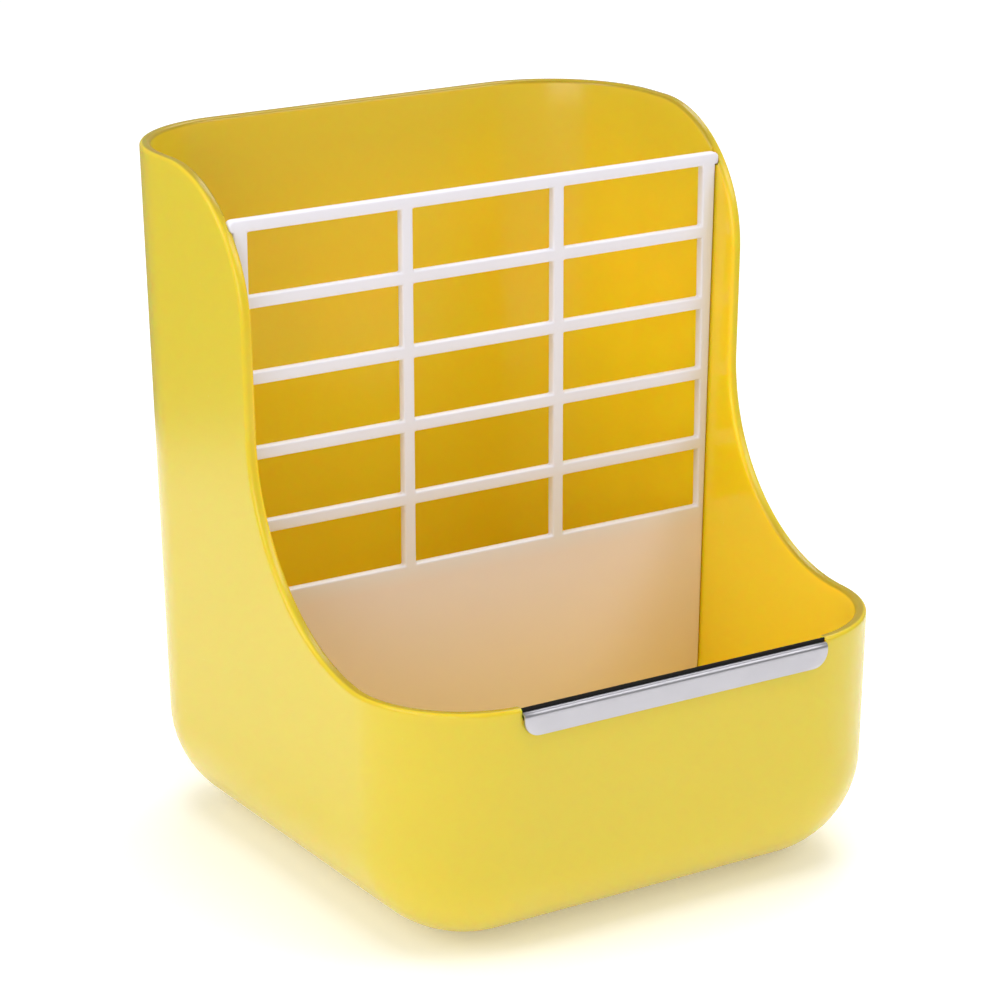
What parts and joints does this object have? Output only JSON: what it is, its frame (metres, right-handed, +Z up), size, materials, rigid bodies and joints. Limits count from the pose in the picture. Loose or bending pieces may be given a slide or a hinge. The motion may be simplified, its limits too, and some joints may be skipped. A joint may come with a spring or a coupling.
{
  "type": "hay feeder",
  "caption": "Free-standing tub with an S-swept side, a lift-out lattice grid that parts hay from the food bowl, a steel guard on the front rim and screw clamps behind.",
  "frame": {"origin": "centre of the flat base that the feeder stands on", "axes": "+Z up, -Y towards the low front wall, +X to the right as seen from the front"},
  "size_m": [0.142, 0.1722, 0.17],
  "materials": {
    "yellow_plastic": "glossy lemon-yellow moulded plastic",
    "white_plastic": "satin white moulded plastic",
    "polished_steel": "finely brushed stainless steel",
    "black_rubber": "matte black strip",
    "zinc_steel": "zinc-plated steel",
    "clamp_plastic": "satin white moulded plastic"
  },
  "bodies": {
    "shell": {"shell": "yellow_plastic", "bite_guard": "polished_steel", "guard_liner": "black_rubber", "clamp_stud_left": "zinc_steel", "clamp_stud_right": "zinc_steel"},
    "grid": {"hay_grid": "white_plastic"},
    "plate_left": {"clamp_plate_left": "clamp_plastic"},
    "plate_right": {"clamp_plate_right": "clamp_plastic"},
    "knob_left": {"clamp_knob_left": "clamp_plastic", "clamp_nut_left": "zinc_steel"},
    "knob_right": {"clamp_knob_right": "clamp_plastic", "clamp_nut_right": "zinc_steel"}
  },
  "joints": [
    {"name": "grid_lift", "type": "slide", "parent": "shell", "child": "grid", "axis": [0, 0, 1], "range_m": [0, 0.168]},
    {"name": "plate_left_slide", "type": "slide", "parent": "shell", "child": "plate_left", "axis": [0, 1, 0], "range_m": [-0.00385, 0.00405]},
    {"name": "knob_left_turn", "type": "hinge", "parent": "plate_left", "child": "knob_left", "pos_m": [-0.026, 0.08496, 0.118], "axis": [0, 1, 0], "range_deg": [-1368, 1440]},
    {"name": "plate_right_slide", "type": "slide", "parent": "shell", "child": "plate_right", "axis": [0, 1, 0], "range_m": [-0.00385, 0.00405]},
    {"name": "knob_right_turn", "type": "hinge", "parent": "plate_right", "child": "knob_right", "pos_m": [0.026, 0.08496, 0.118], "axis": [0, 1, 0], "range_deg": [-1368, 1440]}
  ],
  "couplings": [
    {"joint": "plate_left_slide", "follows": "knob_left_turn", "m_per_rad": 0.00015915},
    {"joint": "plate_right_slide", "follows": "knob_right_turn", "m_per_rad": 0.00015915}
  ]
}
